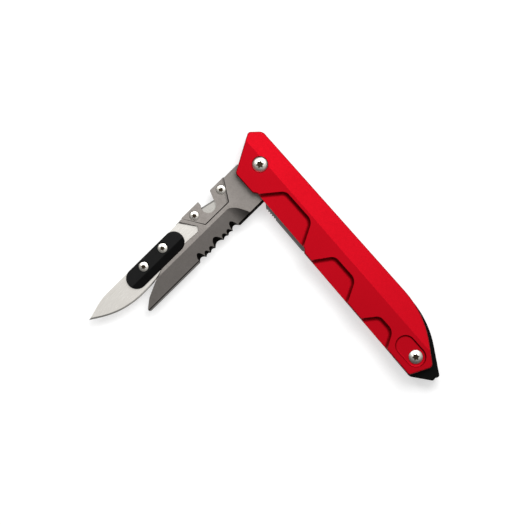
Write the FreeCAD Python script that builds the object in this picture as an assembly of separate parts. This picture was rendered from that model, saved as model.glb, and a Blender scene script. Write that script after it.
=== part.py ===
import FreeCAD
import Part

import math
import os

from FreeCAD import Vector

# A folding rigging knife: sheepsfoot blade with a cord cutter and a clamped scalpel, in a two-scale handle.
#
# Lengths are in millimetres and angles in degrees. The row frame has its origin on the pivot axis, on the
# outer face of the back scale. +X runs along the handle to the butt, +Y to the handle's spine and +Z out of
# the front face. The blade has its own frame, with the same origin: u runs from the pivot to the tip and v
# from the blade's spine to its cutting edge. The blade is stored a little under half way open.

# Thickness stack, from the back face up.
scale_thickness = 4.4
liner_thickness = 1.1
washer_thickness = 0.3
blade_thickness = 4.0

# Blade angles about the pivot, measured from +X.
rest_angle = -87.2
closed_angle = -3.8
open_angle = -180.0

# Pivot, stop pin and lock.
pivot_radius = 2.5
pivot_barrel_wall = 0.75
pivot_head_overhang = 0.6
pivot_seat_gap = 0.2
pivot_head_height = 1.75
pivot_recess_width = 3.1
pivot_screw_length = 3.6
washer_setback = 0.6
stop_pin_radius = 1.5
stop_pin_reach = 8.5
stop_pin_angle = 125.0
pin_seat = 1.2
lock_face_x = 6.0
lock_bar_top_y = -1.6
lock_bar_tip_drop = 3.1
lock_bar_root_x = 60.0
lock_bar_tip_ramp = (3.2, 1.0)
lock_bar_ramp_round = 1.6
lock_bar_show_start = 8.4
lock_bar_show_end = 1.4
lock_bar_hidden_start = 1.2
lock_bar_tip_round = 0.3
lock_slit_width = 0.8
lock_overtravel = 0.45
spring_groove_radius = 3.0
spring_neck_thickness = 0.65
spring_groove_setback = 5.0
jimp_count = 5
jimp_pitch = 1.15
jimp_radius = 0.38
jimp_start = 9.2
detent_ball_radius = 0.65
detent_ball_x = 8.0
detent_ball_y = -3.2
detent_hole_share = 0.8
detent_hole_depth = 0.6

# Handle outline.
spine_over_edge = -1.6
nose_x = -12.85
nose_drop = 4.5
nose_shoulder_x = -9.1
chin_x = -3.75
chin_y = -9.7
front_block_end_x = 6.4
finger_relief_depth = 1.25
finger_relief_start = 1.6
finger_relief_end_x = 36.6
belly_start_x = 38.3
belly_start_y = -10.3
belly_slope = -0.0195
tail_fall_angle = 33.2
tail_point_reach = 7.5
tail_point_y = -2.3
tail_heel_reach = 3.5
tail_fall_radius = 40.0
nose_round = 1.4
nose_shoulder_round = 3.0
tail_point_round = 1.8
tail_heel_round = 1.2
belly_round = 1.0
relief_round = 0.8
front_block_round = 0.9
chin_round = 1.8
edge_round = 0.4
facet_crease_y = 2.05
facet_tilt = 12.5
facet_crease_turn = -0.62
liner_inset = 1.15
liner_nose_share = 1.3
liner_corner_share = 0.5
liner_point_setback = 1.9
liner_heel_reach = 2.6
liner_belly_shift = 0.8
liner_round = 0.5

# Grip pockets in the outer face of each scale.
pocket_depth = 2.0
pocket_round = 1.75
pocket_tops = (0.65, -2.0, -4.45)
pocket_corners = (3.4, 4.2)
first_pocket_span = (-5.4, 8.5, 24.1, 35.1)
second_pocket_span = (-16.6, -6.1, 6.1, 15.5)
third_pocket_span = (-21.8, -12.0, -4.4, 4.2)
second_pocket_shift = 5.7
third_pocket_setback = 9.6
clip_seat_radius = 4.2
clip_seat_length = 6.1
clip_seat_depth = 1.2
clip_seat_round = 0.7

# Tail screw, bush and black butt.
tail_setback = 6.1
tail_y = -4.7
tail_bush_wall = 0.9
tail_head_overhang = 0.35
tail_head_height = 1.65
tail_recess_width = 2.9
tail_screw_length = 3.4
tail_bush_radius = 2.4
butt_length = 12.3
butt_fall_angle = 31.0
butt_shoulder_reach = 3.1
butt_end_lean = 0.5
butt_end_height = 3.3
butt_chin_reach = 4.5
butt_chin_drop = 0.2
butt_heel_setback = 5.6
butt_corner_round = 0.8
butt_chin_round = 2.0
butt_heel_round = 0.4
butt_notch_radius = 0.8
butt_notch_outset = 0.25
butt_notch_drop = 1.9
butt_strip_start_x = 56.0
butt_strip_inset = 0.3
scalpel_room = 2.0
dowel_radius = 1.0
dowel_setbacks = ((19.0, 4.4), (8.0, 7.8))

# Main blade.
blade_spine_v = -6.5
edge_v = 11.2
heel_drop = 0.5
heel_front_u = 8.5
heel_back_u = 22.6
heel_chamfer = 0.95
heel_chamfer_angle = 48.0
heel_step = 0.4
heel_step_round = 0.15
heel_round = 0.4
kick_ramp_run = 1.2
kick_ramp_drop = 0.6
kick_ramp_round = 1.0
kick_top_drop = 0.3
main_tip_u = 73.4
tip_overrun = 0.9
tip_round = 0.9
grind_v = 3.5
clip_drop = 4.25
clip_setback = 4.4
clip_round = 8.0
tongue_step_us = (5.5, 6.2)
tongue_step_round = 0.5
tongue_inset = 0.35
tongue_end_flat = 0.05
fork_setback = 5.4
fork_width = 2.0
fork_depth = 0.6
fork_lean = 0.4
fork_round = 0.4
edge_half_thickness = 0.2
keen_half_thickness = 0.04
plunge_u = 22.3
plunge_radius = 12.6
plain_edge_u = 44.5
micro_bevel_width = 1.0
kick_radius = 9.3
scallop_widths = (3.3, 2.5, 2.5, 4.7, 2.6, 2.5, 3.4)
wide_scallop_width = 3.0
wide_scallop_rise = 3.5
narrow_scallop_rise = 2.05
scallop_tilt = 33.0
lock_notch_width = 4.0
lock_notch_over = 0.6

# Cord cutter: a razor insert under a screwed cover.
cover_thickness = 1.6
cover_front_u = 13.8
cover_back_u = 37.5
cover_top_front_u = 19.4
cover_top_back_u = 32.2
cover_top_v = 1.6
cover_top_front_round = 0.4
cover_top_back_round = 0.8
cover_chamfer = 0.8
cover_chamfer_angle = 18.0
cover_proud = 0.3
cover_side_gap = 0.12
cover_top_gap = 0.4
cutter_screw_us = (18.1, 33.0)
cutter_screw_v = -3.9
hook_centre_u = 26.1
hook_centre_v = -2.9
hook_radius = 3.05
hook_lip_angle = 43.8
throat_front_u = 21.5
throat_back_u = 28.1
throat_back_drop = 0.6
razor_thickness = 0.4
razor_front_u = 20.6
razor_back_u = 30.4
razor_edge_front_v = -2.4
razor_edge_slope = -0.226
razor_top_inset = 0.5
razor_round = 0.3
razor_bevel_angle = 30.0
razor_bevel_width = 0.62

# Scalpel and its clamp.
scalpel_thickness = 0.4
scalpel_seat_u = 35.2
scalpel_length = 57.2
scalpel_belly_v = 4.15
scalpel_tang_v = 1.6
scalpel_spine_v = -6.3
scalpel_tip_v = -3.7
scalpel_bevel = 0.7
scalpel_slot_width = 2.4
scalpel_slot_over = 1.5
scalpel_bed_gap = 0.2
scalpel_bed_over = 1.0
scalpel_butt_lean = 4.6
scalpel_butt_corner = 1.1
scalpel_neck_reach = 7.5
scalpel_neck_dip = 0.3
scalpel_butt_round = 0.3
scalpel_corner_round = 0.8
scalpel_neck_round = 3.0
scalpel_heel_reach = 21.7
scalpel_heel_end_reach = 26.3
scalpel_crown_reach = 34.0
scalpel_bed_reach = 38.0
scalpel_clip_reach = 44.5
scalpel_belly_middle = (13.2, -2.35)
clamp_thickness = 2.0
clamp_radius = 4.27
clamp_front_u = 46.2
clamp_length = 20.8
clamp_spine_v = -6.4
clamp_crease_v = -1.05
clamp_slope = 20.0
clamp_edge_round = 0.3
clamp_screw_us = (51.2, 61.8)
clamp_screw_v = -3.55

# Small screws of the cover and the clamp.
small_screw_radius = 1.0
small_head_radius = 1.9
small_head_height = 1.1
small_recess_width = 2.1
clamp_counterbore_radius = 2.4
cover_counterbore_radius = 2.0

# Form of all screw heads, as shares of their height and of the recess's width.
large_crown_share = 0.45
small_crown_share = 0.35
recess_depth_share = 0.62
lobe_flute_share = 0.2
lobe_reach_share = 0.36

# Clearances.
running_clearance = 0.03
seat_clearance = 0.1
swing_clearance = 1.2
blade_edge_clearance = 0.6
stop_clearance = 0.05
head_sink = 0.12
joint_gap = 0.06

# Heights that follow from the stack.
gap_low = scale_thickness
blade_low = gap_low + washer_thickness
blade_high = blade_low + blade_thickness
blade_mid = blade_low + blade_thickness / 2
gap_high = blade_high + washer_thickness
handle_thickness = gap_high + scale_thickness
liner_low = gap_low - liner_thickness

# Places that follow from the blade's reach.
scalpel_tip_u = scalpel_seat_u + scalpel_length
swing_radius = math.hypot(scalpel_tip_u, scalpel_tip_v)
tail_x = swing_radius + tail_setback
butt_end_x = tail_x + butt_length
tail_fall = math.tan(math.radians(tail_fall_angle))
tail_point_x = tail_x + tail_point_reach
tail_heel_x = tail_x + tail_heel_reach
heel_v = edge_v + heel_drop
spine_y = edge_v + spine_over_edge
nose_y = spine_y - nose_drop
tail_shoulder_x = tail_point_x - (spine_y - tail_point_y) / tail_fall
clamp_v = clamp_spine_v + clamp_radius
clamp_end_u = clamp_front_u + clamp_length
wide_scallop_root_v = edge_v - wide_scallop_rise
narrow_scallop_root_v = edge_v - narrow_scallop_rise
grind_slope = (blade_thickness / 2 - edge_half_thickness) / (edge_v - grind_v)

# Radii that follow from the sleeves they fit.
pivot_thread_radius = pivot_radius - pivot_barrel_wall
pivot_head_radius = pivot_radius + pivot_head_overhang
pivot_seat_radius = pivot_head_radius + pivot_seat_gap
tail_thread_radius = tail_bush_radius - tail_bush_wall
tail_head_radius = tail_bush_radius + tail_head_overhang
tang_radius = stop_pin_reach - stop_pin_radius - stop_clearance
washer_radius = tang_radius - washer_setback

# Shapes of the scalpel's three curves: how each leaves one point and enters the next.
HEEL_TANGENTS = (Vector(5, 3, 0), Vector(12, 0, 0))
BELLY_TANGENTS = (Vector(1, 0, 0), Vector(1, -0.38, 0), Vector(1, -0.66, 0))
CLIP_TANGENTS = (Vector(-12, -2.4, 0), Vector(-10, 0, 0))
TIP_DRAW = (1.6, 0.2)

LOBES = 6

# Lengths below this are rounding error.
TINY = 1e-6

# How far cutting tools pass the faces that they cut.
OVER = 1.0
RUN_OUT = 8.0
STONE_BACK = 5.0
STONE_LENGTH = 30.0
FAR = 200.0
UP = Vector(0, 0, 1)
ORIGIN = Vector(0, 0, 0)


# ---------------------------------------------------------------- shape helpers


def wire(corners, z=0.0):
    """A closed wire through (x, y, radius) corners, with a tangent arc at each corner that has a radius."""
    points = [Vector(x, y, z) for x, y, _ in corners]
    stretches = []
    for i, (_, _, radius) in enumerate(corners):
        here = points[i]
        back = (points[i - 1] - here).normalize()
        ahead = (points[(i + 1) % len(points)] - here).normalize()
        half = back.getAngle(ahead) / 2
        reach = radius / math.tan(half)
        toward = (back + ahead).normalize() if radius else back
        middle = here + toward * (radius / math.sin(half) - radius) if radius else here
        stretches.append((here + back * reach, middle, here + ahead * reach, radius))
    edges = []
    for i, (start, middle, end, radius) in enumerate(stretches):
        if radius:
            edges.append(Part.Arc(start, middle, end).toShape())
        following = stretches[(i + 1) % len(stretches)][0]
        if end.distanceToPoint(following) > TINY:
            edges.append(Part.LineSegment(end, following).toShape())
    return Part.Wire(edges)


def plate(corners, low, high):
    """A flat plate with that outline between two heights."""
    return Part.Face(wire(corners, low)).extrude(UP * (high - low))


def rod(x, y, radius, low, high):
    """A cylinder standing along Z."""
    return Part.makeCylinder(radius, high - low, Vector(x, y, low), UP)


def ring(x, y, outer, inner, low, high):
    return rod(x, y, outer, low, high).cut(rod(x, y, inner, low, high))


def obround(x0, x1, y, radius, low, high):
    """A slot-shaped plate along X between two centres."""
    below, above = y - radius, y + radius
    middle = plate([(x0, below, 0), (x1, below, 0), (x1, above, 0), (x0, above, 0)], low, high)
    body = middle.fuse([rod(x0, y, radius, low, high), rod(x1, y, radius, low, high)])
    return body.removeSplitter()


def wedge_above(y, z, tilt, low_x, high_x):
    """What lies above a plane that holds the line at (y, z) along X and falls towards +Y by tilt degrees."""
    block = Part.makeBox(high_x - low_x, FAR, FAR, Vector(low_x, 0, 0))
    block.rotate(ORIGIN, Vector(1, 0, 0), -tilt)
    block.translate(Vector(0, y, z))
    return block


def mirrored(shape, height):
    """The same shape turned over about a plane at that height."""
    return shape.mirror(Vector(0, 0, height), UP)


def in_blade_frame(u, v, angle):
    """Where a point of the blade stands in the row frame at that blade angle."""
    turn = math.radians(angle)
    return u * math.cos(turn) - v * math.sin(turn), u * math.sin(turn) + v * math.cos(turn)


def belly_y(x):
    """Height of the handle's lower edge behind the finger relief."""
    return belly_start_y + belly_slope * (x - belly_start_x)


def relief_y(x):
    """The handle's full lower contour between the front block and the belly."""
    share = (x - front_block_end_x) / (belly_start_x - front_block_end_x)
    return chin_y + share * (belly_start_y - chin_y)


# ---------------------------------------------------------------- screws


def lobed_recess(x, y, width, low, high):
    """The tool for a six-lobed drive recess."""
    star = rod(x, y, width / 2, low, high)
    flute = width * lobe_flute_share
    reach = width * lobe_reach_share + flute
    for k in range(LOBES):
        turn = math.radians(360 / LOBES * (k + 0.5))
        star = star.cut(rod(x + reach * math.cos(turn), y + reach * math.sin(turn), flute, low, high))
    return star


def screw(x, y, head_radius, head_height, shank_radius, shank_end, head_low, recess_width, dome):
    """A screw along -Z, its head's underside at head_low; dome is the share of the head that is crowned."""
    rim = head_height * (1 - dome)
    crown = head_height - rim
    sphere_radius = (head_radius ** 2 + crown ** 2) / (2 * crown)
    top = head_low + head_height
    ball = Part.makeSphere(sphere_radius, Vector(x, y, top - sphere_radius))
    head = rod(x, y, head_radius, head_low, top).common(ball)
    shank = rod(x, y, shank_radius, shank_end, head_low)
    recess = lobed_recess(x, y, recess_width, top - recess_depth_share * head_height, top + OVER)
    return head.fuse(shank).removeSplitter().cut(recess)


def small_screw(u, v, seat, end):
    return screw(
        u, v, small_head_radius, small_head_height, small_screw_radius,
        end, seat, small_recess_width, small_crown_share,
    )


# ---------------------------------------------------------------- handle


def scale_corners():
    """Outline of one scale, from the nose along the spine and back along the belly."""
    return [
        (nose_x, nose_y, nose_round),
        (nose_shoulder_x, spine_y, nose_shoulder_round),
        (tail_shoulder_x, spine_y, tail_fall_radius),
        (tail_point_x, tail_point_y, tail_point_round),
        (tail_heel_x, belly_y(tail_heel_x), tail_heel_round),
        (belly_start_x, belly_start_y, belly_round),
        (finger_relief_end_x, relief_y(finger_relief_end_x) + finger_relief_depth, relief_round),
        (front_block_end_x + finger_relief_start, chin_y + finger_relief_depth, relief_round),
        (front_block_end_x, chin_y, front_block_round),
        (chin_x, chin_y, chin_round),
    ]


def top_rim(solid, inner_height):
    """Edges of the outer faces, apart from the crease between them and the inner face's own edges."""
    seen = {}
    for face in solid.Faces:
        u0, u1, v0, v1 = face.ParameterRange
        if face.normalAt((u0 + u1) / 2, (v0 + v1) / 2).z > 0.5:
            for edge in face.Edges:
                seen.setdefault(edge.hashCode(), []).append(edge)
    once = [found[0] for found in seen.values() if len(found) == 1]
    return [edge for edge in once if edge.BoundBox.ZMin > inner_height + TINY]


def bottom_edges(tool, floor):
    return [edge for edge in tool.Edges if edge.BoundBox.ZMax < floor + TINY]


def facet_tool():
    tool = wedge_above(facet_crease_y, handle_thickness, facet_tilt, -FAR, FAR)
    tool.rotate(Vector(0, facet_crease_y, 0), UP, facet_crease_turn)
    return tool


def grip_pocket(corners):
    """The tool for one grip pocket: a ball-nosed cut whose floor runs out through the lower edge."""
    floor = handle_thickness - pocket_depth
    tool = plate(corners, floor, handle_thickness + RUN_OUT)
    return tool.makeFillet(pocket_round, bottom_edges(tool, floor))


def pocket_corners_at(origin_x, span, top_y):
    """A pocket's plan: its two sides slope in from below the lower edge to a level top."""
    below = belly_start_y - RUN_OUT
    first_round, last_round = pocket_corners
    start, top_start, top_end, end = [origin_x + x for x in span]
    return [
        (start, below, 0),
        (top_start, top_y, first_round),
        (top_end, top_y, last_round),
        (end, below, 0),
    ]


def grip_pockets():
    """Three pockets, each shorter and lower than the one before it."""
    third_x = tail_x - third_pocket_setback
    second_x = (front_block_end_x + third_x) / 2 + second_pocket_shift
    places = (front_block_end_x, second_x, third_x)
    spans = (first_pocket_span, second_pocket_span, third_pocket_span)
    plans = [pocket_corners_at(x, span, top) for x, span, top in zip(places, spans, pocket_tops)]
    return [grip_pocket(corners) for corners in plans]


def outer_scale():
    """A front scale with its outer form: facet, rounded rim, grip pockets and screw seats."""
    body = plate(scale_corners(), gap_high, handle_thickness)
    body = body.cut(facet_tool())
    body = body.makeFillet(edge_round, top_rim(body, gap_high))
    body = body.cut(grip_pockets())
    over = handle_thickness + RUN_OUT
    seat_floor = handle_thickness - clip_seat_depth
    clip_seat = obround(tail_x - clip_seat_length, tail_x, tail_y, clip_seat_radius, seat_floor, over)
    clip_seat = clip_seat.makeFillet(clip_seat_round, bottom_edges(clip_seat, seat_floor))
    pivot_seat = rod(0, 0, pivot_seat_radius, pivot_seat_floor(), over)
    tail_seat = rod(tail_x, tail_y, tail_head_radius + seat_clearance, tail_seat_floor(), over)
    return body.cut([clip_seat, pivot_seat, tail_seat])


def pivot_seat_floor():
    return handle_thickness - head_sink - pivot_head_height


def tail_seat_floor():
    return handle_thickness - head_sink - tail_head_height


def stop_pin_place():
    turn = math.radians(stop_pin_angle)
    return stop_pin_reach * math.cos(turn), stop_pin_reach * math.sin(turn)


def dowel_places():
    return [(tail_x - back, spine_y - down) for back, down in dowel_setbacks]


def inner_bores(low, high, seat_low, seat_high):
    """Holes that both scales share: through bores for the sleeves, blind seats for stop pin and dowels."""
    stop_x, stop_y = stop_pin_place()
    seats = [rod(stop_x, stop_y, stop_pin_radius, seat_low, seat_high)]
    seats += [rod(x, y, dowel_radius, seat_low, seat_high) for x, y in dowel_places()]
    through = [rod(0, 0, pivot_radius, low, high), rod(tail_x, tail_y, tail_bush_radius, low, high)]
    return seats + through


def front_scale():
    low, high = gap_high - OVER, handle_thickness + OVER
    bores = inner_bores(low, high, low, gap_high + pin_seat)
    return outer_scale().cut(bores)


def liner_corners():
    """Outline of the liner and its lock bar together, inside the back scale's rim."""
    corner_inset = liner_inset * liner_corner_share
    shoulder_x = tail_shoulder_x - corner_inset
    top_y = spine_y - liner_inset
    point_x = tail_point_x - liner_point_setback
    return [
        (nose_x + liner_inset * liner_nose_share, nose_y, nose_round),
        (nose_shoulder_x + corner_inset, top_y, nose_shoulder_round),
        (shoulder_x, top_y, tail_fall_radius - liner_inset),
        (point_x, top_y - tail_fall * (point_x - shoulder_x), tail_heel_round),
        (tail_x + liner_heel_reach, belly_y(tail_x) + liner_inset, tail_heel_round),
        (belly_start_x + liner_belly_shift, belly_start_y + liner_inset, liner_round),
        (front_block_end_x, chin_y + liner_inset, liner_round),
        (chin_x + corner_inset, chin_y + liner_inset, chin_round),
    ]


def lock_bar_corners():
    """Outline of the spring arm; its lower edge shows below the scales over the finger relief."""
    tip_x = lock_face_x + seat_clearance
    tip_low_y = lock_bar_top_y - lock_bar_tip_drop
    hidden_y = belly_start_y + liner_inset + seat_clearance
    show_start_x = front_block_end_x + lock_bar_show_start
    show_end_x = belly_start_x - lock_bar_show_end
    ramp_run, ramp_drop = lock_bar_tip_ramp
    return [
        (tip_x, lock_bar_top_y, lock_bar_tip_round),
        (lock_bar_root_x - joint_gap, lock_bar_top_y, 0),
        (lock_bar_root_x - joint_gap, hidden_y, 0),
        (belly_start_x + lock_bar_hidden_start, hidden_y, relief_round),
        (show_end_x, relief_y(show_end_x), relief_round),
        (show_start_x, relief_y(show_start_x), lock_bar_ramp_round),
        (tip_x + ramp_run, tip_low_y - ramp_drop, lock_bar_ramp_round),
        (tip_x, tip_low_y, lock_bar_tip_round),
    ]


def lock_bar_cell(margin):
    """Plan of the window in which the lock bar moves, open towards the belly."""
    left = lock_face_x - margin
    right = lock_bar_root_x
    top = lock_bar_top_y + margin
    below = belly_start_y - RUN_OUT
    return [(left, top, 0), (right, top, 0), (right, below, 0), (left, below, 0)]


def back_scale():
    """The front scale's outer form turned over, with a bed for the liner and room behind the lock bar."""
    body = mirrored(outer_scale(), handle_thickness / 2)
    bed = Part.Face(wire(liner_corners(), liner_low)).makeOffset2D(seat_clearance).extrude(UP * FAR)
    room_low = liner_low - lock_overtravel
    bar_room = plate(lock_bar_cell(lock_slit_width), room_low, FAR)
    body = body.cut([bed, bar_room])
    return body.cut(inner_bores(-OVER, gap_low + OVER, liner_low - pin_seat, gap_low + OVER))


def lock_liner():
    """The fixed steel liner, with the window that the lock bar leaves."""
    body = plate(liner_corners(), liner_low, gap_low)
    low, high = liner_low - OVER, gap_low + OVER
    window = plate(lock_bar_cell(lock_slit_width), low, high)
    return body.cut([window] + inner_bores(low, high, low, high))


def lock_bar():
    """The spring arm: jimped lower edge, thinned neck at its root, and a seat for the detent ball."""
    body = plate(lock_bar_corners(), liner_low, gap_low)
    first_x = front_block_end_x + jimp_start
    for k in range(jimp_count):
        x = first_x + k * jimp_pitch
        body = body.cut(rod(x, relief_y(x), jimp_radius, liner_low - OVER, gap_low + OVER))
    groove_x = lock_bar_root_x - spring_groove_setback
    groove_z = liner_low + liner_thickness - spring_neck_thickness - spring_groove_radius
    groove_start = Vector(groove_x, -FAR / 2, groove_z)
    groove = Part.makeCylinder(spring_groove_radius, FAR, groove_start, Vector(0, 1, 0))
    return body.cut([groove, detent_ball()])


def detent_ball():
    protrusion = washer_thickness - running_clearance
    centre_z = gap_low + protrusion - detent_ball_radius
    return Part.makeSphere(detent_ball_radius, Vector(detent_ball_x, detent_ball_y, centre_z))


def blade_room(low, high):
    """Where the folded blade and its scalpel run between the scales, with their clearances."""
    reach = swing_radius + swing_clearance
    strip_end_x = math.hypot(main_tip_u, edge_v) + swing_clearance
    edge_x0, edge_y0 = in_blade_frame(plain_edge_u, edge_v, closed_angle)
    edge_x1, edge_y1 = in_blade_frame(main_tip_u, edge_v, closed_angle)
    slope = (edge_y1 - edge_y0) / (edge_x1 - edge_x0)
    start_x = butt_strip_start_x - OVER
    scalpel_top = in_blade_frame(main_tip_u, scalpel_belly_v, closed_angle)[1] + scalpel_room

    def strip_y(x):
        return edge_y0 + slope * (x - edge_x0) + blade_edge_clearance

    plan = [
        (start_x, -FAR, 0),
        (start_x, strip_y(start_x), 0),
        (strip_end_x, strip_y(strip_end_x), 0),
        (strip_end_x, scalpel_top, butt_chin_round),
        (FAR, scalpel_top, 0),
        (FAR, -FAR, 0),
    ]
    return plate(plan, low, high).common(rod(0, 0, reach, low, high))


def butt_spacer():
    """The black piece between the scales: a strip under the spine and a butt that stands out past them."""
    fall = math.tan(math.radians(butt_fall_angle))
    top_y = spine_y - butt_strip_inset
    low_y = belly_y(tail_x)
    shoulder_x = tail_shoulder_x + butt_shoulder_reach
    end_y = top_y - fall * (butt_end_x - shoulder_x)
    outline = [
        (butt_strip_start_x, top_y, 0),
        (shoulder_x, top_y, tail_fall_radius),
        (butt_end_x, end_y, butt_corner_round),
        (butt_end_x - butt_end_lean, end_y - butt_end_height, butt_corner_round),
        (tail_x + butt_chin_reach, low_y - butt_chin_drop, butt_chin_round),
        (tail_x - butt_heel_setback, low_y, butt_heel_round),
        (butt_strip_start_x, low_y, 0),
    ]
    body = plate(outline, gap_low, gap_high)
    low, high = gap_low - OVER, gap_high + OVER
    notch = rod(butt_end_x + butt_notch_outset, end_y - butt_notch_drop, butt_notch_radius, low, high)
    holes = [rod(x, y, dowel_radius, low, high) for x, y in dowel_places()]
    holes.append(rod(tail_x, tail_y, tail_bush_radius, low, high))
    return body.cut([blade_room(low, high), notch] + holes)


def dowels():
    pins = []
    for x, y in dowel_places():
        pins.append(rod(x, y, dowel_radius, liner_low - pin_seat, gap_high + pin_seat))
    return Part.makeCompound(pins)


def pivot_barrel():
    low = handle_thickness - pivot_seat_floor()
    return ring(0, 0, pivot_radius, pivot_thread_radius, low, pivot_seat_floor())


def tail_bush():
    low = handle_thickness - tail_seat_floor()
    return ring(tail_x, tail_y, tail_bush_radius, tail_thread_radius, low, tail_seat_floor())


def pivot_screw():
    return screw(
        0, 0, pivot_head_radius, pivot_head_height, pivot_thread_radius,
        pivot_seat_floor() - pivot_screw_length, pivot_seat_floor(), pivot_recess_width, large_crown_share,
    )


def tail_screw():
    return screw(
        tail_x, tail_y, tail_head_radius, tail_head_height, tail_thread_radius,
        tail_seat_floor() - tail_screw_length, tail_seat_floor(), tail_recess_width, large_crown_share,
    )


def stop_pin():
    x, y = stop_pin_place()
    return rod(x, y, stop_pin_radius, liner_low - pin_seat, gap_high + pin_seat)


def washer(low):
    return ring(0, 0, washer_radius, pivot_radius, low, low + washer_thickness)


# ---------------------------------------------------------------- blade, in its own frame


def blade_corners():
    """Outline of the main blade: spine, tongue under the scalpel, clip, cutting edge, heel and kick."""
    tongue_radius = clamp_radius - tongue_inset
    tongue_low, tongue_high = clamp_v - tongue_radius, clamp_v + tongue_radius
    tongue_u = clamp_end_u + tongue_radius
    tongue_round = tongue_radius - tongue_end_flat
    step_start, step_end = [scalpel_seat_u + u for u in tongue_step_us]
    fork_u = clamp_end_u - fork_setback
    return [
        (0, blade_spine_v, 0),
        (step_start, blade_spine_v, tongue_step_round),
        (step_end, tongue_low, tongue_step_round),
        (tongue_u, tongue_low, tongue_round),
        (tongue_u, tongue_high, tongue_round),
        (fork_u + fork_depth, tongue_high, fork_round),
        (fork_u - fork_depth, tongue_high + fork_width / 2, fork_round),
        (fork_u + fork_lean, tongue_high + fork_width, fork_round),
        (main_tip_u - clip_setback, edge_v - clip_drop, clip_round),
        (main_tip_u + tip_overrun, edge_v, tip_round),
        (heel_back_u + heel_step, edge_v, 0),
        (heel_back_u, heel_v, heel_step_round),
        (heel_front_u, heel_v, heel_round),
        (heel_front_u - kick_ramp_run, kick_radius - kick_ramp_drop, kick_ramp_round),
        (0, kick_radius - kick_top_drop, 0),
    ]


def kick_sector():
    """The tang's disc behind the spine line, before the stop pin's path is cut."""
    disc = rod(0, 0, kick_radius, blade_low, blade_high)
    below = Part.makeBox(2 * FAR, FAR, 2 * FAR, Vector(-FAR, blade_spine_v - FAR, -FAR))
    return disc.cut(below)


def stop_path():
    """Where the stop pin runs in the blade's frame, from fully open to closed."""
    x, y = stop_pin_place()
    start, end = stop_pin_angle - closed_angle, stop_pin_angle - open_angle
    low, high = blade_low - OVER, blade_high + OVER
    sweep = ring(0, 0, stop_pin_reach + RUN_OUT, tang_radius, low, high)
    sector = Part.makeCylinder(FAR, high - low, Vector(0, 0, low), UP, end - start)
    sector.rotate(ORIGIN, UP, start)
    ends = []
    for angle in (closed_angle, open_angle):
        pin = rod(x, y, stop_pin_radius + stop_clearance, low, high)
        pin.rotate(ORIGIN, UP, -angle)
        ends.append(pin)
    return [sweep.common(sector)] + ends


def grind_tools():
    """Flat grind and plunge on the front face, and the same turned over."""
    tilt = math.degrees(math.atan(grind_slope))
    flat = wedge_above(grind_v, blade_high, tilt, plunge_u, FAR)
    wheel = Part.makeCylinder(plunge_radius, 2 * FAR, Vector(0, -FAR, 0), Vector(0, 1, 0))
    wheel.translate(Vector(plunge_u, 0, plunge_radius))
    wheel.rotate(Vector(plunge_u, 0, 0), Vector(1, 0, 0), -tilt)
    wheel.translate(Vector(0, grind_v, blade_high))
    below_grind = Part.makeBox(FAR, FAR, 2 * FAR, Vector(0, grind_v, -FAR))
    front = [flat, wheel.common(below_grind)]
    return front + [mirrored(tool, blade_mid) for tool in front]


def micro_bevels():
    """The sharpened band of the plain edge on both faces."""
    start_v = edge_v - micro_bevel_width
    half_there = edge_half_thickness + grind_slope * micro_bevel_width
    tilt = math.degrees(math.atan((half_there - keen_half_thickness) / micro_bevel_width))
    front = wedge_above(start_v, blade_mid + half_there, tilt, plain_edge_u, FAR)
    return [front, mirrored(front, blade_mid)]


def heel_chamfers():
    start_u, end_u = heel_front_u - heel_chamfer * 2, heel_back_u + heel_step / 2
    front = wedge_above(heel_v - heel_chamfer, blade_high, heel_chamfer_angle, start_u, end_u)
    return [front, mirrored(front, blade_mid)]


def scallop(u, width, root_v):
    """One serration: a round stone laid on the front face at a slant, towards the edge and down."""
    lean = math.radians(scallop_tilt)
    root_z = blade_mid + edge_half_thickness + grind_slope * (edge_v - root_v)
    edge_drop = root_z - blade_mid - (edge_v - root_v) * math.tan(lean)
    sagitta = -edge_drop * math.cos(lean)
    radius = (width ** 2 / 4 + sagitta ** 2) / (2 * sagitta)
    along = Vector(0, math.cos(lean), -math.sin(lean))
    out = Vector(0, math.sin(lean), math.cos(lean))
    centre = Vector(u, root_v, root_z) + out * radius - along * STONE_BACK
    return Part.makeCylinder(radius, STONE_LENGTH, centre, along)


def serrations():
    """Scallops laid side by side from the heel to the plain edge: a wide one, then two narrow ones."""
    tools = []
    start_u = plain_edge_u - sum(scallop_widths)
    for width in scallop_widths:
        wide = width > wide_scallop_width
        root_v = wide_scallop_root_v if wide else narrow_scallop_root_v
        tools.append(scallop(start_u + width / 2, width, root_v))
        start_u += width
    return tools


def hook_notch(low, high):
    """The cord cutter's throat and round pocket."""
    lip = math.radians(hook_lip_angle)
    mouth_v = blade_spine_v - RUN_OUT
    throat = plate(
        [
            (throat_front_u, mouth_v, 0),
            (throat_front_u, blade_spine_v - cover_proud, 0),
            (hook_centre_u - hook_radius, hook_centre_v, 0),
            (hook_centre_u + hook_radius * math.cos(lip), hook_centre_v - hook_radius * math.sin(lip), 0),
            (throat_back_u, blade_spine_v + throat_back_drop, 0),
            (throat_back_u, mouth_v, 0),
        ],
        low,
        high,
    )
    return throat.fuse(rod(hook_centre_u, hook_centre_v, hook_radius, low, high))


def cover_slant():
    """Angle between the cover's slanted front side and the v axis."""
    return math.atan((cover_top_front_u - cover_front_u) / (cover_top_v - blade_spine_v + cover_proud))


def cover_corners(margin, top_margin):
    """Plan of the cutter's cover, grown by a margin at its sides and another at its top."""
    low_v = blade_spine_v - cover_proud
    side = margin / math.cos(cover_slant())
    return [
        (cover_front_u - side, low_v - margin, 0),
        (cover_back_u + side, low_v - margin, 0),
        (cover_top_back_u + side, cover_top_v + top_margin, cover_top_back_round),
        (cover_top_front_u - side, cover_top_v + top_margin, cover_top_front_round),
    ]


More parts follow.
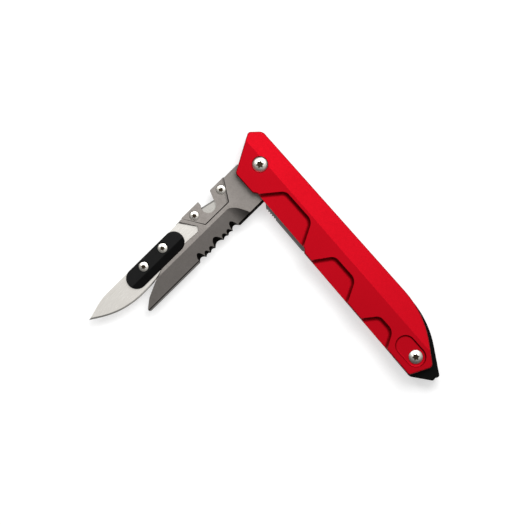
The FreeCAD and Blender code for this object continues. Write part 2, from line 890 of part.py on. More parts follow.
def razor_corners(margin):
    """Plan of the razor insert; its lower side is the cutting edge across the hook."""
    back_edge_v = razor_edge_front_v + razor_edge_slope * (razor_back_u - razor_front_u)
    top_v = cover_top_v - razor_top_inset
    return [
        (razor_front_u - margin, razor_edge_front_v - margin, 0),
        (razor_back_u + margin, back_edge_v - margin, 0),
        (razor_back_u + margin, top_v + margin, razor_round),
        (razor_front_u - margin, top_v + margin, razor_round),
    ]


def scalpel_bed_corners():
    """Plan of the scalpel's bed: its tang with a gap all round, open past the spine."""
    gap = scalpel_bed_gap
    spine_side_v = scalpel_spine_v - scalpel_bed_over
    return [
        (scalpel_seat_u + scalpel_butt_lean - gap, spine_side_v, 0),
        (scalpel_seat_u - gap, -gap / 2, scalpel_butt_round),
        (scalpel_seat_u + scalpel_butt_corner - gap, scalpel_tang_v + gap, scalpel_corner_round),
        (scalpel_seat_u + scalpel_neck_reach, scalpel_tang_v - scalpel_neck_dip + gap, scalpel_neck_round),
        (scalpel_seat_u + scalpel_heel_reach, scalpel_tang_v + scalpel_neck_dip + gap, scalpel_corner_round),
        (scalpel_seat_u + scalpel_heel_end_reach, scalpel_belly_v - gap, 0),
        (scalpel_seat_u + scalpel_bed_reach, scalpel_belly_v + gap, 0),
        (scalpel_seat_u + scalpel_bed_reach, spine_side_v, 0),
    ]


def clamp_shape(margin, low, high):
    return obround(clamp_front_u, clamp_end_u, clamp_v, clamp_radius + margin, low, high)


def cover_floor():
    return blade_high - cover_thickness


def clamp_floor():
    return blade_high - clamp_thickness


def lock_notch(low, high):
    """The step behind the tang that the lock bar's end meets at full opening."""
    top_v = -lock_bar_top_y - lock_notch_over
    end_v = kick_radius + OVER
    start_u = -lock_face_x - lock_notch_width
    plan = [(start_u, top_v, 0), (-lock_face_x, top_v, 0), (-lock_face_x, end_v, 0), (start_u, end_v, 0)]
    return plate(plan, low, high)


def detent_hole(low, high):
    """The shallow hole that the detent ball drops into with the blade closed."""
    u, v = in_blade_frame(detent_ball_x, detent_ball_y, -closed_angle)
    return rod(u, v, detent_ball_radius * detent_hole_share, low, high)


def main_blade():
    body = plate(blade_corners(), blade_low, blade_high).fuse(kick_sector()).removeSplitter()
    body = body.cut(stop_path())
    body = body.cut(grind_tools())
    body = body.cut(micro_bevels())
    body = body.cut(heel_chamfers())
    body = body.cut(serrations())
    low, high = blade_low - OVER, blade_high + OVER
    cover_bed = plate(cover_corners(cover_side_gap, cover_top_gap), cover_floor(), high)
    razor_bed = plate(razor_corners(joint_gap), cover_floor() - razor_thickness, high)
    scalpel_bed = plate(scalpel_bed_corners(), clamp_floor() - scalpel_thickness, high)
    clamp_bed = clamp_shape(seat_clearance, clamp_floor(), high)
    body = body.cut([lock_notch(low, high), cover_bed, razor_bed, scalpel_bed, clamp_bed])
    body = body.cut(hook_notch(low, high))
    holes = [rod(0, 0, pivot_radius + running_clearance, low, high)]
    holes += [rod(u, cutter_screw_v, small_screw_radius, low, high) for u in cutter_screw_us]
    holes += [rod(u, clamp_screw_v, small_screw_radius, low, high) for u in clamp_screw_us]
    holes.append(detent_hole(low, blade_low + detent_hole_depth))
    return body.cut(holes)


def cover_bevel():
    """The chamfer along the cover's slanted front side."""
    tool = wedge_above(-cover_chamfer, 0, cover_chamfer_angle, -FAR, FAR)
    tool.rotate(ORIGIN, UP, 90 - math.degrees(cover_slant()))
    tool.translate(Vector(cover_front_u, blade_spine_v - cover_proud, blade_high))
    return tool


def hook_cover():
    """The screwed cover over the razor insert, flush with the blade's face and just proud of its spine."""
    body = plate(cover_corners(0, 0), cover_floor(), blade_high)
    seat = blade_high - small_head_height
    tools = [hook_notch(blade_low, blade_high + OVER), cover_bevel()]
    for u in cutter_screw_us:
        tools.append(rod(u, cutter_screw_v, small_screw_radius, blade_low, blade_high))
        tools.append(rod(u, cutter_screw_v, cover_counterbore_radius, seat, blade_high + OVER))
    return body.cut(tools)


def hook_razor():
    """The razor insert, ground on one side along its lower edge."""
    low, high = cover_floor() - razor_thickness, cover_floor()
    body = plate(razor_corners(0), low, high)
    bevel = Part.makeBox(2 * FAR, FAR, FAR, Vector(-FAR, -FAR, 0))
    bevel.rotate(ORIGIN, Vector(1, 0, 0), razor_bevel_angle)
    bevel.rotate(ORIGIN, UP, math.degrees(math.atan(razor_edge_slope)))
    bevel.translate(Vector(razor_front_u, razor_edge_front_v + razor_bevel_width, high))
    return body.cut(bevel)


def curve(points, tangents):
    """A smooth curve through the points; a middle point's tangent follows from its neighbours."""
    flags = [True] + [False] * (len(points) - 2) + [True]
    spline = Part.BSplineCurve()
    spline.interpolate(Points=points, Tangents=list(tangents), TangentFlags=flags)
    return spline.toShape()


def scalpel_outline(bevel, z):
    """The scalpel's outline at one height; bevel draws the cutting edge in."""
    crown = Vector(scalpel_seat_u + scalpel_crown_reach, scalpel_belly_v - bevel, z)
    tip = Vector(scalpel_tip_u - TIP_DRAW[0] * bevel, scalpel_tip_v - TIP_DRAW[1] * bevel, z)
    heel_v = scalpel_tang_v + scalpel_neck_dip * (1 - bevel)
    tang = [
        Vector(scalpel_seat_u + scalpel_clip_reach, scalpel_spine_v, z),
        Vector(scalpel_seat_u + scalpel_butt_lean, scalpel_spine_v, z),
        Vector(scalpel_seat_u, 0, z),
        Vector(scalpel_seat_u + scalpel_butt_corner, scalpel_tang_v, z),
        Vector(scalpel_seat_u + scalpel_neck_reach, scalpel_tang_v - scalpel_neck_dip, z),
        Vector(scalpel_seat_u + scalpel_heel_reach, heel_v, z),
    ]
    straight = [Part.LineSegment(a, b).toShape() for a, b in zip(tang, tang[1:])]
    heel = curve([tang[-1], crown], HEEL_TANGENTS)
    belly = curve([crown, crown + Vector(*scalpel_belly_middle, 0), tip], BELLY_TANGENTS)
    clip = curve([tip, tang[0]], CLIP_TANGENTS)
    return Part.Wire(straight + [heel, belly, clip])


def scalpel_blade():
    """A stamped surgical blade with a slotted tang, ground on both sides along its belly."""
    low = clamp_floor() - scalpel_thickness
    middle = low + scalpel_thickness / 2
    outlines = [scalpel_outline(0, middle), scalpel_outline(scalpel_bevel, clamp_floor())]
    upper = Part.makeLoft(outlines, True, True)
    body = upper.fuse(mirrored(upper, middle)).removeSplitter()
    slot = obround(
        clamp_screw_us[0] - scalpel_slot_over, clamp_screw_us[-1] + scalpel_slot_over, clamp_screw_v,
        scalpel_slot_width / 2, low - OVER, clamp_floor() + OVER,
    )
    return body.cut(slot)


def scalpel_clamp():
    """The black clamp: an obround bar whose cutting side slopes down to leave the scalpel's edge free."""
    body = clamp_shape(0, clamp_floor(), blade_high)
    slope = wedge_above(clamp_crease_v, blade_high, clamp_slope, -FAR, FAR)
    body = body.cut(slope)
    rim = top_rim(body, clamp_floor())
    body = body.makeFillet(clamp_edge_round, rim)
    seat = blade_high - small_head_height
    for u in clamp_screw_us:
        body = body.cut(rod(u, clamp_screw_v, small_screw_radius, blade_low, blade_high))
        body = body.cut(rod(u, clamp_screw_v, clamp_counterbore_radius, seat, blade_high + OVER))
    return body


def small_screws(places, seat):
    return Part.makeCompound([small_screw(u, v, seat, blade_low) for u, v in places])


# ---------------------------------------------------------------- assembly


def handle_parts():
    return {
        "front_scale": front_scale(),
        "back_scale": back_scale(),
        "lock_liner": lock_liner(),
        "butt_spacer": butt_spacer(),
        "spacer_dowels": dowels(),
        "pivot_barrel": pivot_barrel(),
        "pivot_screw_front": pivot_screw(),
        "pivot_screw_back": mirrored(pivot_screw(), handle_thickness / 2),
        "tail_bush": tail_bush(),
        "tail_screw_front": tail_screw(),
        "tail_screw_back": mirrored(tail_screw(), handle_thickness / 2),
        "stop_pin": stop_pin(),
        "pivot_washer_front": washer(blade_high),
        "pivot_washer_back": washer(gap_low),
        "lock_bar": lock_bar(),
        "detent_ball": detent_ball(),
    }


def blade_parts():
    seat = blade_high - small_head_height
    return {
        "main_blade": main_blade(),
        "hook_cover": hook_cover(),
        "hook_razor": hook_razor(),
        "hook_cover_screws": small_screws([(u, cutter_screw_v) for u in cutter_screw_us], seat),
        "scalpel_blade": scalpel_blade(),
        "scalpel_clamp": scalpel_clamp(),
        "clamp_screws": small_screws([(u, clamp_screw_v) for u in clamp_screw_us], seat),
    }


def main():
    os.makedirs("parts", exist_ok=True)
    nodes = handle_parts()
    for name, shape in blade_parts().items():
        shape.rotate(ORIGIN, UP, rest_angle)
        nodes[name] = shape
    for name, shape in nodes.items():
        print(f"{name}: {len(shape.Solids)} solid(s), {shape.Volume:.1f} mm3, valid {shape.isValid()}")
        shape.exportStep(os.path.join("parts", name + ".step"))


if __name__ == "__main__":
    main()
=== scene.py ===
import math

import bpy
from mathutils import Matrix, Vector


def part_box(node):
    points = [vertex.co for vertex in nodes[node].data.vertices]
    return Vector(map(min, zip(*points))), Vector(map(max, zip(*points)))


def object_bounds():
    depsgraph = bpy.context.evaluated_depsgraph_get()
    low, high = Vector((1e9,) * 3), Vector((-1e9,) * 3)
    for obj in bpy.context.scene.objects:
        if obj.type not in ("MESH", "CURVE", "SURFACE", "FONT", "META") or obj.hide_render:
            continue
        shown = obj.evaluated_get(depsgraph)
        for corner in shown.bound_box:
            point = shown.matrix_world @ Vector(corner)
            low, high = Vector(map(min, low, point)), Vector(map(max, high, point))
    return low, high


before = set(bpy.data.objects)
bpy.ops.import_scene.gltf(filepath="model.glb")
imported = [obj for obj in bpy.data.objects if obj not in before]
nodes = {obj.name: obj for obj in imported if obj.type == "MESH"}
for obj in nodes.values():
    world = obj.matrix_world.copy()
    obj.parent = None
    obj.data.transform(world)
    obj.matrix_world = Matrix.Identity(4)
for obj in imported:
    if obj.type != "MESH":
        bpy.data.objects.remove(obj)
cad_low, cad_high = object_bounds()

# Looks for the folding rigging knife: anodised scales, stonewashed and bright steels, floor, light and
# camera. Angles are in degrees and lengths in metres. Colours are linear.

# The picture: the handle's angle in it, its width on the floor, the camera's height over the floor's
# middle point, and how far that point lies from the knife's own middle along the picture's axes.
HANDLE_IN_VIEW = -48.28
VIEW_WIDTH = 0.2116
VIEW_DISTANCE = 1.1
VIEW_OFFSET = (-0.0006, -0.0025)
SENSOR_WIDTH = 36.0
CLIP_START = 0.01

# The sky: where it is brightest, the cosines between which it falls off, and its levels there.
SKY_AXIS = (-0.21, 0.40, 0.89)
SKY_FALL = (0.45, 0.98)
SKY_LEVELS = (0.05, 0.96)

# The floor: how strongly it glows, how far it lies under the knife, and half its side.
FLOOR_GLOW = 0.55
FLOOR_GAP = 0.00002
FLOOR_REACH = 6.0
PAPER = ((0.60, 0.60, 0.60), (0.62, 0.62, 0.62))

# Each disk lamp's direction, distance, size and radiance.
LAMPS = {
    "key_over_the_facet": ((-0.21, 0.40, 0.89), 0.80, 0.40, 8.2),
    "fill_from_the_left": ((-0.52, 0.02, 0.85), 0.80, 0.22, 6.5),
}

# Pairs give a finish its lowest and highest tone.
RED = ((0.385, 0.0002, 0.006), (0.405, 0.0004, 0.007))
RED_GRAIN = (0.50, 0.003, 0.014)
RED_SCUFF = (0.70, 0.03, 0.05)
RED_SHADE = (0.060, 0.0001, 0.001)
BLACK = ((0.0014, 0.0014, 0.0015), (0.0030, 0.0030, 0.0031))
BLACK_SCUFF = (0.020, 0.020, 0.021)
WASHED = ((0.205, 0.187, 0.173), (0.240, 0.221, 0.206))
WASHED_SPECKLE = (0.32, 0.295, 0.275)
WASHED_SCRATCH = (0.36, 0.335, 0.31)
GROUND = ((0.195, 0.178, 0.166), (0.255, 0.235, 0.220))
PIVOT_SHADE = (0.085, 0.077, 0.071)
SHADED_FACE = (0.010, 0.0088, 0.008)
# Painted shade along the crease above the micro bevel.
CREASE_SHADE = (0.030, 0.027, 0.025)
# Painted light for the keen edge.
LIT_KEEN_EDGE = (0.23, 0.22, 0.21)
SCALPEL = ((0.74, 0.71, 0.66), (0.84, 0.815, 0.77))
RAZOR = ((0.46, 0.445, 0.415), (0.56, 0.545, 0.51))
LINER = ((0.16, 0.157, 0.152), (0.26, 0.255, 0.248))
PIN = ((0.44, 0.44, 0.43), (0.55, 0.55, 0.54))
SCREW = ((0.74, 0.71, 0.65), (0.90, 0.87, 0.80))
# Painted shade for the screws' drive recesses.
RECESS_SHADE = (0.030, 0.022, 0.014)
BRONZE = ((0.42, 0.25, 0.09), (0.58, 0.38, 0.16))

# How much of the marks' colour shows at most.
RED_GRAIN_SHARE = 0.10
RED_SCUFF_SHARE = 0.12
BLACK_SCUFF_SHARE = 0.15
WASHED_SPECKLE_SHARE = 0.4
WASHED_SCRATCH_SHARE = 0.30
GROUND_SHARE = 0.75
DULL_SHARE = 0.35

# Noise stays mostly inside this span, which is stretched over a finish's two tones.
NOISE_SPAN = (0.3, 0.7)
NOISE_ROUGHNESS = 0.55

# How far each set of scratches is moved from the last.
SET_SHIFT = (0.013, 0.021)

# The sockets of a colour mix node: three inputs and one output.
MIX_SHARE, MIX_FIRST, MIX_SECOND = 0, 6, 7
MIX_RESULT = 2

# The scales' faces that lean this way are the walls of the grips and the lower sides. The share of shade
# on them, and the leans between which it sets in.
TO_GRIPS = (0, -1, 0)
WALL_SHADE = 0.60
WALL_LEAN = (0.20, 0.60)

# The blade's own directions at rest, and the lines on it where its finish changes.
BLADE_ANGLE = -87.2
TO_TIP = Vector((math.cos(math.radians(BLADE_ANGLE)), math.sin(math.radians(BLADE_ANGLE)), 0))
TO_EDGE = Vector((-TO_TIP.y, TO_TIP.x, 0))
GRIND_LINE = 0.0035
EDGE_LINE = 0.0112
EDGE_HALF_THICKNESS = 0.0002
PLAIN_EDGE_START = 0.0445
MICRO_BEVEL = 0.0010
HEEL_CHAMFER_LINE = 0.01075
HEEL_END = 0.0227

# Over how far one finish gives way to the next at such a line.
LINE_FADE = 0.0001

# The crease above the micro bevel, which is painted dark as shade, and where past it the keen edge starts
# and is full. The keen edge is painted light: it is made mostly non-metallic so that it reads as a lighter
# band.
CREASE_WIDTH = 0.00015
KEEN_START, KEEN_FULL = 0.0003, 0.00045
KEEN_METALLIC = 0.2

# How deep under the grind's plane a scallop counts as one, and how far past the grind's line that starts.
SCALLOP_DEPTHS = (0.00001, 0.00005)
SCALLOP_START, SCALLOP_FULL = 0.001, 0.0015

# The upward share of the steel's normal at which it counts as ground, and at which it counts as flat.
GROUND_LEAN = (0.955, 0.9985)

# The stretch from the pivot over which the blade's shade fades out, and the shade's share at its start.
PIVOT_SHADE_SPAN = (0.008, 0.026)
PIVOT_SHADE_SHARE = 0.55

# The blade's beds for its cover and its scalpel: start and end along it, spine side and edge side; and how
# far below the blade's face their floors count as sunk.
BEDS = (0.0125, 0.0440, -0.0062, 0.0034)
BED_DEPTHS = (0.00015, 0.0003)

# How far the drive recess of each screw starts below the top of its head.
CROWN_DEPTH = {
    "pivot_screw_front": 0.00085,
    "pivot_screw_back": 0.00085,
    "tail_screw_front": 0.00080,
    "tail_screw_back": 0.00080,
    "hook_cover_screws": 0.00045,
    "clamp_screws": 0.00045,
}
RECESS_END = 0.0016

blade_low, blade_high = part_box("main_blade")
BLADE_THICKNESS = blade_high.z - blade_low.z
BLADE_MIDDLE = (blade_high.z + blade_low.z) / 2


# ---------------------------------------------------------------- node helpers


class Look:
    """A material under construction: a principled shader with helpers for the textures that feed it."""

    def __init__(self, name, metallic=1.0, turn=0.0, specular=0.5):
        self.material = bpy.data.materials.new(name)
        self.material.use_nodes = True
        self.tree = self.material.node_tree
        self.shader = self.tree.nodes["Principled BSDF"]
        self.shader.inputs["Metallic"].default_value = metallic
        self.shader.inputs["Specular IOR Level"].default_value = specular
        self.coords = self.tree.nodes.new("ShaderNodeTexCoord")
        self.place = self.mapped((1, 1, 1), turn)

    def link(self, source, target):
        self.tree.links.new(source, target)

    def mapped(self, scale, turn=0.0, source=None, shift=(0, 0, 0)):
        """The object's coordinates in metres, turned about Z and stretched."""
        node = self.tree.nodes.new("ShaderNodeMapping")
        node.inputs["Location"].default_value = shift
        node.inputs["Scale"].default_value = scale
        node.inputs["Rotation"].default_value = (0, 0, math.radians(turn))
        self.link(source or self.coords.outputs["Object"], node.inputs["Vector"])
        return node.outputs["Vector"]

    def noise(self, grain, detail=3.0, vector=None):
        """Noise whose cells are about grain metres across."""
        node = self.tree.nodes.new("ShaderNodeTexNoise")
        node.inputs["Scale"].default_value = 1.0 / grain
        node.inputs["Detail"].default_value = detail
        node.inputs["Roughness"].default_value = NOISE_ROUGHNESS
        self.link(vector or self.place, node.inputs["Vector"])
        return node.outputs["Fac"]

    def ramp(self, value, low, high, out_low=0.0, out_high=1.0):
        node = self.tree.nodes.new("ShaderNodeMapRange")
        node.inputs["From Min"].default_value = low
        node.inputs["From Max"].default_value = high
        node.inputs["To Min"].default_value = out_low
        node.inputs["To Max"].default_value = out_high
        self.link(value, node.inputs["Value"])
        return node.outputs["Result"]

    def spread(self, noise, out_low=0.0, out_high=1.0):
        """Noise stretched over the given range."""
        return self.ramp(noise, *NOISE_SPAN, out_low, out_high)

    def between(self, value, start, end):
        """One where the value lies from start to end."""
        return self.times(self.ramp(value, start, start + LINE_FADE), self.ramp(value, end, end - LINE_FADE))

    def times(self, a, b):
        return self.math("MULTIPLY", a, b)

    def math(self, kind, a, b):
        node = self.tree.nodes.new("ShaderNodeMath")
        node.operation = kind
        for socket, value in zip(node.inputs, (a, b)):
            if isinstance(value, (int, float)):
                socket.default_value = value
            else:
                self.link(value, socket)
        return node.outputs[0]

    def mix(self, share, a, b):
        """A colour between a and b; each is a colour or another node's output."""
        node = self.tree.nodes.new("ShaderNodeMix")
        node.data_type = "RGBA"
        sockets = (node.inputs[MIX_FIRST], node.inputs[MIX_SECOND])
        for socket, value in zip(sockets, (a, b)):
            if isinstance(value, tuple):
                socket.default_value = (*value, 1.0)
            else:
                self.link(value, socket)
        self.link(share, node.inputs[MIX_SHARE])
        return node.outputs[MIX_RESULT]

    def along(self, direction, coordinate="Object"):
        """The object's coordinate, or its normal's share, along a fixed direction."""
        node = self.tree.nodes.new("ShaderNodeVectorMath")
        node.operation = "DOT_PRODUCT"
        node.inputs[1].default_value = direction
        self.link(self.coords.outputs[coordinate], node.inputs[0])
        return node.outputs["Value"]

    def upward(self, coordinate="Object"):
        """The Z of the object's coordinate or of its normal."""
        split = self.tree.nodes.new("ShaderNodeSeparateXYZ")
        self.link(self.coords.outputs[coordinate], split.inputs[0])
        return split.outputs["Z"]

    def tilt(self, low, high):
        """One where the surface leans away from Z, zero where it lies flat."""
        upright = self.math("ABSOLUTE", self.upward("Normal"), 0.0)
        return self.ramp(upright, high, low)

    def finish(self, colour, roughness, bump=None, strength=0.15, depth=0.000008):
        self.link(colour, self.shader.inputs["Base Color"])
        self.link(roughness, self.shader.inputs["Roughness"])
        if bump is not None:
            node = self.tree.nodes.new("ShaderNodeBump")
            node.inputs["Strength"].default_value = strength
            node.inputs["Distance"].default_value = depth
            self.link(bump, node.inputs["Height"])
            self.link(node.outputs["Normal"], self.shader.inputs["Normal"])
        return self.material


def scratches(look, grain, angles, stretch, low, high):
    """Short fine scratches in several directions, each set moved so that no two share a pattern."""
    total = None
    for k, angle in enumerate(angles):
        vector = look.mapped((1, stretch, 1), angle, shift=(SET_SHIFT[0] * k, SET_SHIFT[1] * k, 0))
        streak = look.ramp(look.noise(grain, detail=2.0, vector=vector), low, high)
        total = streak if total is None else look.math("MAXIMUM", total, streak)
    return total


# ---------------------------------------------------------------- materials


def red_anodising():
    look = Look("red_anodising", metallic=0.75, specular=0.13)
    cloud = look.spread(look.noise(grain=0.030))
    colour = look.mix(cloud, *RED)
    blast = look.noise(grain=0.00014)
    grain = look.ramp(blast, 0.40, 0.75, out_high=RED_GRAIN_SHARE)
    colour = look.mix(grain, colour, RED_GRAIN)
    scuffs = scratches(look, grain=0.0007, angles=(24, 81, 137), stretch=9.0, low=0.72, high=0.84)
    colour = look.mix(look.times(scuffs, RED_SCUFF_SHARE), colour, RED_SCUFF)
    walls = look.ramp(look.along(TO_GRIPS, "Normal"), *WALL_LEAN, out_high=WALL_SHADE)
    colour = look.mix(walls, colour, RED_SHADE)
    roughness = look.spread(look.noise(grain=0.0012), 0.47, 0.50)
    return look.finish(colour, roughness, blast, depth=0.000006)


def black_anodising(name, grain, shine):
    look = Look(name, metallic=0.0, specular=shine)
    cloud = look.spread(look.noise(grain=0.006))
    colour = look.mix(cloud, *BLACK)
    scuffs = scratches(look, grain=0.0006, angles=(33, 95, 151), stretch=9.0, low=0.72, high=0.84)
    colour = look.mix(look.times(scuffs, BLACK_SCUFF_SHARE), colour, BLACK_SCUFF)
    blast = look.noise(grain)
    roughness = look.spread(look.noise(grain=0.0012), 0.27, 0.32)
    return look.finish(colour, roughness, blast)


def scallops(look):
    """One where the blade's surface lies under the flat grind's plane, past the grind's first stretch."""
    slope = (BLADE_THICKNESS / 2 - EDGE_HALF_THICKNESS) / (EDGE_LINE - GRIND_LINE)
    height = look.math("ABSOLUTE", look.math("SUBTRACT", look.upward(), BLADE_MIDDLE), 0.0)
    room = look.times(look.math("SUBTRACT", EDGE_LINE, look.along(TO_EDGE)), slope)
    plane = look.math("ADD", room, EDGE_HALF_THICKNESS)
    under = look.ramp(look.math("SUBTRACT", plane, height), *SCALLOP_DEPTHS)
    past = look.ramp(look.along(TO_EDGE), GRIND_LINE + SCALLOP_START, GRIND_LINE + SCALLOP_FULL)
    return look.times(under, past)


def gaps(look, reach, depth):
    """One on the floors of the beds round the cover and the scalpel's butt, which lie in shade."""
    face = BLADE_THICKNESS / 2
    height = look.math("SUBTRACT", look.upward(), BLADE_MIDDLE)
    sunk = look.ramp(height, face - BED_DEPTHS[0], face - BED_DEPTHS[1])
    front = look.ramp(height, 0.0, LINE_FADE)
    start, end, spine, land = BEDS
    inside = look.times(look.between(reach, start, end), look.between(depth, spine, land))
    return look.times(look.times(sunk, front), inside)


def heel(look, reach, depth):
    """One on the chamfer of the heel."""
    beyond = look.ramp(depth, HEEL_CHAMFER_LINE - LINE_FADE, HEEL_CHAMFER_LINE)
    return look.times(beyond, look.ramp(reach, HEEL_END, HEEL_END - LINE_FADE))


def stonewashed_steel():
    """Tumbled flats and ground sides with finer lines, with painted shade near the pivot, on the scallops,
    the heel's chamfer, the beds and the crease, and painted light on the keen plain edge.
    """
    look = Look("stonewashed_steel", turn=-BLADE_ANGLE)
    tumble = scratches(look, grain=0.0011, angles=(12, 57, 101, 149), stretch=7.0, low=0.58, high=0.74)
    lines = look.noise(grain=0.0016, vector=look.mapped(scale=(14, 0.8, 1), source=look.place))
    colour = look.mix(look.spread(look.noise(grain=0.004)), *WASHED)
    speckle = look.ramp(look.noise(grain=0.0006), 0.35, 0.75, out_high=WASHED_SPECKLE_SHARE)
    colour = look.mix(speckle, colour, WASHED_SPECKLE)
    colour = look.mix(look.times(tumble, WASHED_SCRATCH_SHARE), colour, WASHED_SCRATCH)
    ground = look.mix(look.spread(lines), *GROUND)
    colour = look.mix(look.times(look.tilt(*GROUND_LEAN), GROUND_SHARE), colour, ground)

    reach, depth = look.along(TO_TIP), look.along(TO_EDGE)
    plain = look.ramp(reach, PLAIN_EDGE_START - LINE_FADE, PLAIN_EDGE_START + LINE_FADE)
    serrations = look.times(scallops(look), look.math("SUBTRACT", 1.0, plain))
    near_pivot = look.ramp(reach, *PIVOT_SHADE_SPAN, PIVOT_SHADE_SHARE, 0.0)
    colour = look.mix(near_pivot, colour, PIVOT_SHADE)
    shaded = look.math("MAXIMUM", serrations, heel(look, reach, depth))
    shaded = look.math("MAXIMUM", shaded, gaps(look, reach, depth))
    colour = look.mix(shaded, colour, SHADED_FACE)

    crease = EDGE_LINE - MICRO_BEVEL
    # Painted shade: a dark band along the crease above the micro bevel.
    band = look.times(look.ramp(depth, crease - CREASE_WIDTH, crease), plain)
    # Painted light: the keen edge takes a pale steel colour and is made mostly non-metallic, so that it
    # reads as a lighter band.
    keen = look.times(look.ramp(depth, crease + KEEN_START, crease + KEEN_FULL), plain)
    colour = look.mix(band, colour, CREASE_SHADE)
    colour = look.mix(keen, colour, LIT_KEEN_EDGE)
    look.link(look.ramp(keen, 0.0, 1.0, 1.0, KEEN_METALLIC), look.shader.inputs["Metallic"])
    marks = look.math("ADD", tumble, lines)
    roughness = look.ramp(marks, 0.3, 1.5, 0.38, 0.48)
    return look.finish(colour, roughness, marks, depth=0.000006)


def bright_steel(name, tones):
    """Polished steel with fine lines along the blade."""
    look = Look(name, turn=-BLADE_ANGLE)
    vector = look.mapped(scale=(0.5, 16, 1), source=look.place)
    lines = look.noise(grain=0.0012, detail=4.0, vector=vector)
    colour = look.mix(look.spread(lines), *tones)
    dull = look.ramp(look.noise(grain=0.007), 0.35, 0.75, out_high=DULL_SHARE)
    colour = look.mix(dull, colour, tones[0])
    roughness = look.spread(lines, 0.22, 0.28)
    return look.finish(colour, roughness, lines, strength=0.12)


def liner_steel():
    """Sheet steel with rolling lines along the handle."""
    look = Look("liner_steel")
    lines = look.noise(grain=0.0012, detail=4.0, vector=look.mapped(scale=(0.4, 18, 1)))
    colour = look.mix(look.spread(lines), *LINER)
    roughness = look.spread(lines, 0.30, 0.44)
    return look.finish(colour, roughness, lines, strength=0.2, depth=0.00001)


def turned_steel(name, tones):
    """The makings of screw and pin steel: the look, its colour, its roughness and its bump."""
    look = Look(name)
    spots = look.noise(grain=0.0005, detail=4.0)
    colour = look.mix(look.spread(spots), *tones)
    roughness = look.spread(look.noise(grain=0.0003), 0.30, 0.40)
    return look, colour, roughness, spots


def pin_steel():
    look, colour, roughness, spots = turned_steel("ground_pin_steel", PIN)
    return look.finish(colour, roughness, spots)


def screw_steel(node):
    """Screw steel whose drive recess, below the crown of each head, is painted dark as shade."""
    look, colour, roughness, spots = turned_steel(node + "_steel", SCREW)
    low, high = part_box(node)
    top, inward = (low.z, 1) if node.endswith("_back") else (high.z, -1)
    start, end = top + inward * CROWN_DEPTH[node], top + inward * RECESS_END
    fade = inward * LINE_FADE
    height = look.upward()
    recess = look.times(look.ramp(height, start, start + fade), look.ramp(height, end, end - fade))
    # Painted shade in the drive recess.
    colour = look.mix(recess, colour, RECESS_SHADE)
    return look.finish(colour, roughness, spots)


def bearing_bronze():
    look = Look("bearing_bronze")
    spots = look.noise(grain=0.0004)
    colour = look.mix(look.spread(spots), *BRONZE)
    roughness = look.spread(spots, 0.32, 0.45)
    return look.finish(colour, roughness, spots, depth=0.00001)


def dress():
    """Gives every CAD node its finish."""
    red = red_anodising()
    blade = stonewashed_steel()
    liner = liner_steel()
    pin = pin_steel()
    bronze = bearing_bronze()
    finishes = {
        "front_scale": red,
        "back_scale": red,
        "lock_liner": liner,
        "lock_bar": liner,
        "detent_ball": pin,
        "butt_spacer": black_anodising("black_butt", grain=0.00015, shine=0.05),
        "spacer_dowels": pin,
        "pivot_barrel": pin,
        "stop_pin": pin,
        "tail_bush": pin,
        "pivot_washer_front": bronze,
        "pivot_washer_back": bronze,
        "main_blade": blade,
        "hook_cover": blade,
        "hook_razor": bright_steel("razor_steel", RAZOR),
        "scalpel_blade": bright_steel("scalpel_steel", SCALPEL),
        "scalpel_clamp": black_anodising("black_clamp", grain=0.00018, shine=0.17),
    }
    for name in CROWN_DEPTH:
        finishes[name] = screw_steel(name)
    for name, finish in finishes.items():
        nodes[name].data.materials.clear()
        nodes[name].data.materials.append(finish)


# ---------------------------------------------------------------- floor, light and camera


def view_centre():
    """The floor point under the middle of the picture, from the object's extent along the picture's axes."""
    back = Matrix.Rotation(math.radians(HANDLE_IN_VIEW), 3, "Z")
    spots = [back @ v.co for o in nodes.values() for v in o.data.vertices]
    across = [p.x for p in spots]
    along = [p.y for p in spots]
    middle = Vector(((min(across) + max(across)) / 2, (min(along) + max(along)) / 2, 0))
    middle += Vector((*VIEW_OFFSET, 0))
    return back.inverted() @ middle


def floor():
    """A plain pale sheet that glows, so that shadows stay faint."""
    side = FLOOR_REACH
    mesh = bpy.data.meshes.new("floor")
    corners = [(-side, -side, 0), (side, -side, 0), (side, side, 0), (-side, side, 0)]
    mesh.from_pydata(corners, [], [(0, 1, 2, 3)])
    plane = bpy.data.objects.new("floor", mesh)
    bpy.context.scene.collection.objects.link(plane)
    plane.location.z = cad_low.z - FLOOR_GAP
    look = Look("floor_paper", metallic=0.0, specular=0.1)
    colour = look.mix(look.noise(grain=0.05), *PAPER)
    roughness = look.spread(look.noise(grain=0.01), 0.75, 0.85)
    look.shader.inputs["Emission Color"].default_value = (1, 1, 1, 1)
    look.shader.inputs["Emission Strength"].default_value = FLOOR_GLOW
    mesh.materials.append(look.finish(colour, roughness))


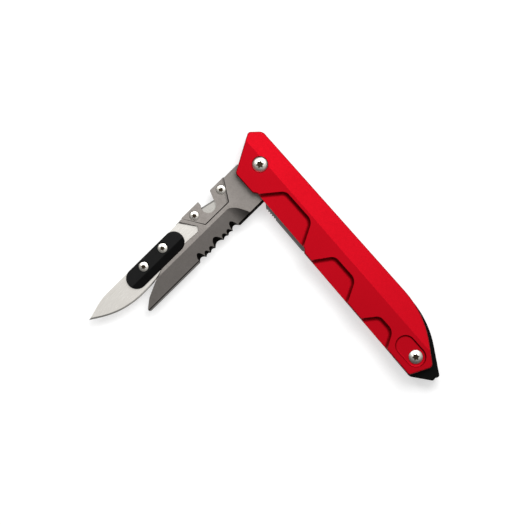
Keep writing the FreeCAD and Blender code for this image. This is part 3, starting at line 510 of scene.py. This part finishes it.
def sky():
    """A dome of soft light that is brightest high over the top of the picture and falls off evenly."""
    world = bpy.data.worlds.new("studio")
    world.use_nodes = True
    tree = world.node_tree
    coords = tree.nodes.new("ShaderNodeTexCoord")
    dot = tree.nodes.new("ShaderNodeVectorMath")
    dot.operation = "DOT_PRODUCT"
    dot.inputs[1].default_value = Vector(SKY_AXIS).normalized()
    tree.links.new(coords.outputs["Generated"], dot.inputs[0])
    fall = tree.nodes.new("ShaderNodeMapRange")
    fall.inputs["From Min"].default_value = SKY_FALL[0]
    fall.inputs["From Max"].default_value = SKY_FALL[1]
    fall.inputs["To Min"].default_value = SKY_LEVELS[0]
    fall.inputs["To Max"].default_value = SKY_LEVELS[1]
    tree.links.new(dot.outputs["Value"], fall.inputs["Value"])
    background = tree.nodes["Background"]
    background.inputs["Color"].default_value = (1, 1, 1, 1)
    tree.links.new(fall.outputs["Result"], background.inputs["Strength"])
    bpy.context.scene.world = world


def softbox(name, direction, distance, size, radiance):
    """A round lamp in that direction from the view's centre, with its brightness given as radiance."""
    lamp = bpy.data.lights.new(name, "AREA")
    lamp.shape = "DISK"
    lamp.size = size
    area = math.pi * (size / 2) ** 2
    lamp.energy = radiance * math.pi * area
    holder = bpy.data.objects.new(name, lamp)
    bpy.context.scene.collection.objects.link(holder)
    way = Vector(direction).normalized()
    holder.location = view_centre() + way * distance
    holder.rotation_euler = (-way).to_track_quat("-Z", "Y").to_euler()


def lights():
    sky()
    for name, (direction, distance, size, radiance) in LAMPS.items():
        softbox(name, direction, distance, size, radiance)


def camera():
    """Looks straight down, turned so that the handle lies at its angle in the picture."""
    data = bpy.data.cameras.new("camera")
    data.sensor_width = SENSOR_WIDTH
    data.lens = data.sensor_width * VIEW_DISTANCE / VIEW_WIDTH
    data.clip_start = CLIP_START
    holder = bpy.data.objects.new("camera", data)
    bpy.context.scene.collection.objects.link(holder)
    holder.location = view_centre() + Vector((0, 0, VIEW_DISTANCE))
    holder.rotation_euler = (0, 0, math.radians(-HANDLE_IN_VIEW))
    bpy.context.scene.camera = holder


dress()
floor()
lights()
camera()
bpy.context.scene.view_settings.view_transform = "Standard"
